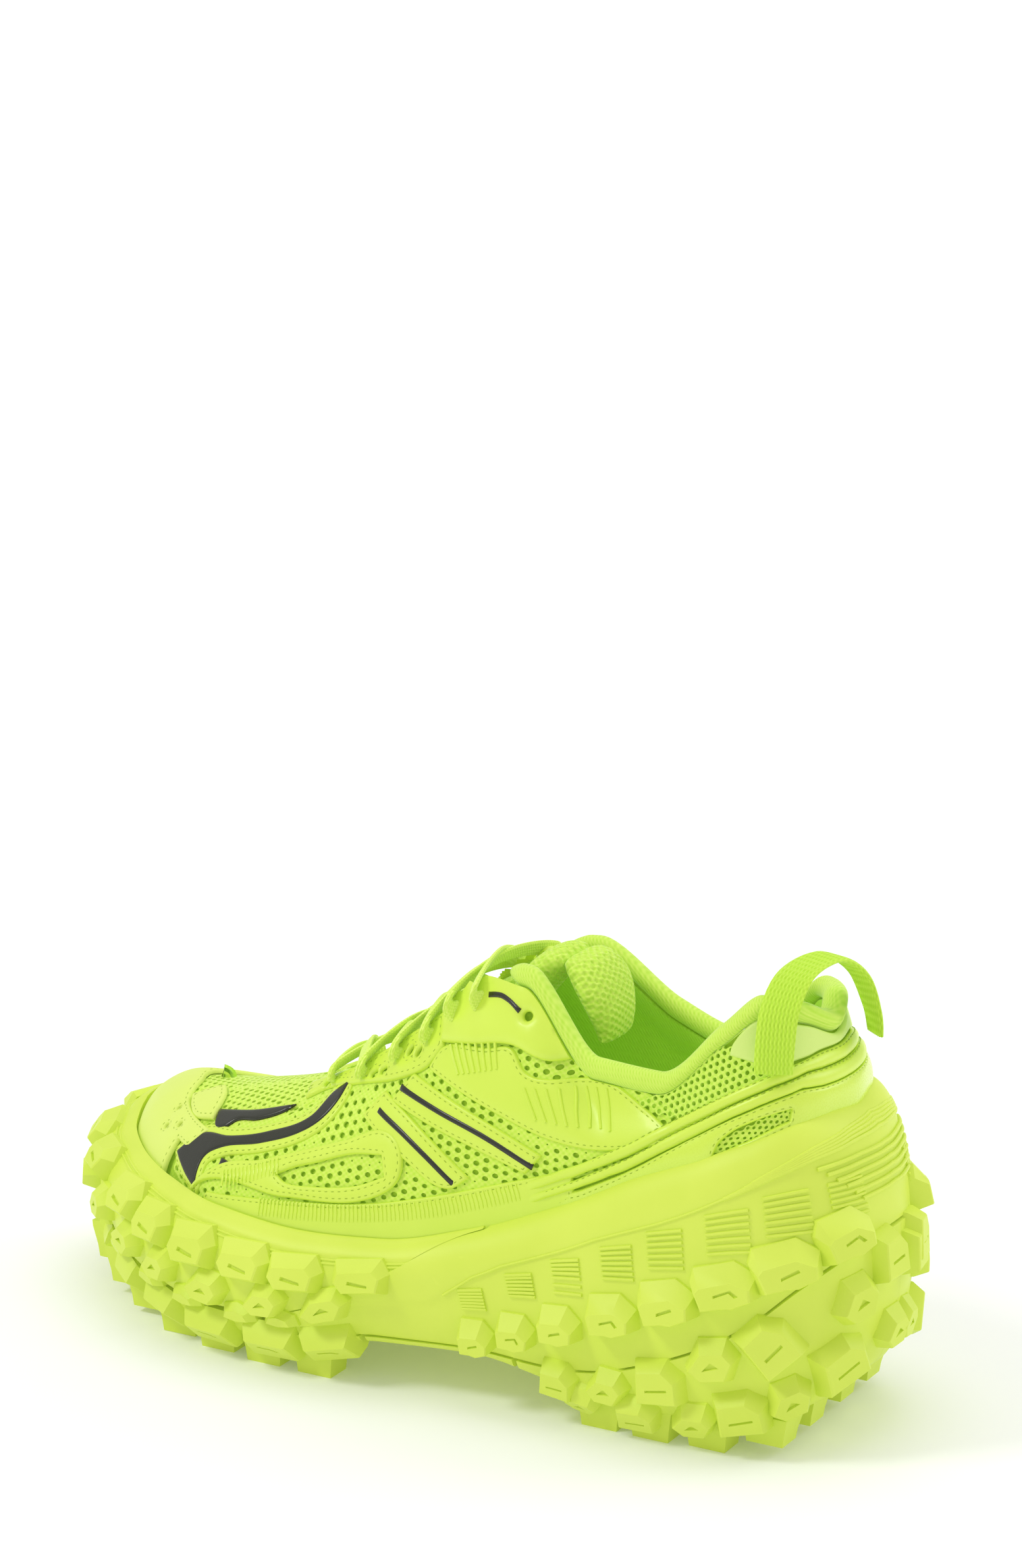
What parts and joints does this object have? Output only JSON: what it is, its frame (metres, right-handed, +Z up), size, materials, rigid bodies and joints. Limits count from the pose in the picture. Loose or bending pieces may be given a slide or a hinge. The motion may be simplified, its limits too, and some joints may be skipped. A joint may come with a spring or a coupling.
{
  "type": "running shoe",
  "caption": "Chunky trail running shoe, left foot, with lugged wrap-around sole, layered mesh upper, laces and heel pull loop.",
  "frame": {"origin": "centre of the bounding box in plan, on the ground plane under the tread lugs", "axes": "+X runs from the toe to the heel, -Y is the outer (lateral) side, +Z is up"},
  "size_m": [0.3402, 0.1322, 0.165],
  "materials": {
    "sole_rubber": "matte moulded neon rubber",
    "inner_board": "plain foam and board",
    "mesh": "open engineered mesh",
    "lining_cloth": "brushed cloth",
    "overlay": "smooth synthetic leather",
    "black_film": "thin glossy printed film",
    "pale_leather": "smooth pale leather",
    "lace_cloth": "flat woven lace",
    "webbing": "ribbed webbing"
  },
  "bodies": {
    "shoe": {"forefoot_sidewall": "sole_rubber", "heel_wedge_sidewall": "sole_rubber", "forefoot_tread": "sole_rubber", "rear_tread": "sole_rubber", "arch_shank": "sole_rubber", "midsole_foam": "inner_board", "lasting_board": "inner_board", "sockliner_front": "lining_cloth", "mesh_upper": "mesh", "lining": "lining_cloth", "toe_puff": "inner_board", "heel_counter": "inner_board", "toe_cap": "overlay", "toe_tab": "overlay", "flame_film_lateral": "black_film", "flame_accent_lateral": "black_film", "forefoot_overlay_lateral": "overlay", "mudguard_lateral": "overlay", "strap_front_lateral": "overlay", "strap_rear_lateral": "overlay", "quarter_overlay_lateral": "overlay", "eyestay_lateral": "overlay", "top_eyelet_panel_lateral": "overlay", "collar_mesh_lateral": "mesh", "flame_film_medial": "black_film", "flame_accent_medial": "black_film", "forefoot_overlay_medial": "overlay", "mudguard_medial": "overlay", "strap_front_medial": "overlay", "strap_rear_medial": "overlay", "quarter_overlay_medial": "overlay", "eyestay_medial": "overlay", "top_eyelet_panel_medial": "overlay", "collar_mesh_medial": "mesh", "heel_tab": "pale_leather", "heel_band_upper": "overlay", "heel_band_lower": "overlay", "heel_skin": "overlay", "collar_roll": "lining_cloth", "tongue_lower": "mesh", "laces": "lace_cloth"},
    "tongue_flap": {"tongue_top": "mesh"},
    "heel_loop": {"pull_loop": "webbing"},
    "sockliner_tail": {"sockliner_heel": "lining_cloth"}
  },
  "joints": [
    {"name": "tongue_fold", "type": "hinge", "parent": "shoe", "child": "tongue_flap", "pos_m": [0.019, 0.0046, 0.138], "axis": [0, -1, 0], "range_deg": [0, 30]},
    {"name": "pull_loop_swing", "type": "hinge", "parent": "shoe", "child": "heel_loop", "pos_m": [0.1338, -0.03093, 0.131], "axis": [0.3001, 0.9519, 0.0621], "range_deg": [0, 45]},
    {"name": "sockliner_lift", "type": "hinge", "parent": "shoe", "child": "sockliner_tail", "pos_m": [0.0965, 0, 0.0886], "axis": [0, -1, 0], "range_deg": [0, 30]}
  ]
}
